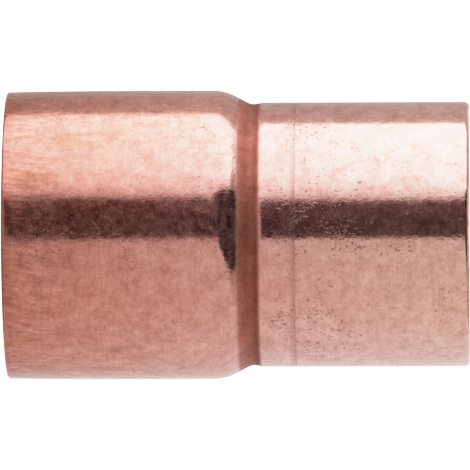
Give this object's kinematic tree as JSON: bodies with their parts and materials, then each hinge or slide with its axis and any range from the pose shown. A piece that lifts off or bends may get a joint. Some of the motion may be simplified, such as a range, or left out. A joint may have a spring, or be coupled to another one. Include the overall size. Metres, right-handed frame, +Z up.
{
  "type": "concentric reducer",
  "caption": "One-piece copper solder reducer: a plain male end joined by a shoulder and rolled neck to a smaller solder cup on the same axis.",
  "frame": {"origin": "centre of the large end's rim, the face that the fitting stands on", "axes": "+Z up along the axis, from the large male end to the mouth of the small solder cup; X and Y across it, with no preferred direction"},
  "size_m": [0.0158, 0.0158, 0.0254],
  "materials": {
    "drawn_copper": "gloss"
  },
  "bodies": {
    "root": {"reducer_body": "drawn_copper"}
  },
  "joints": []
}
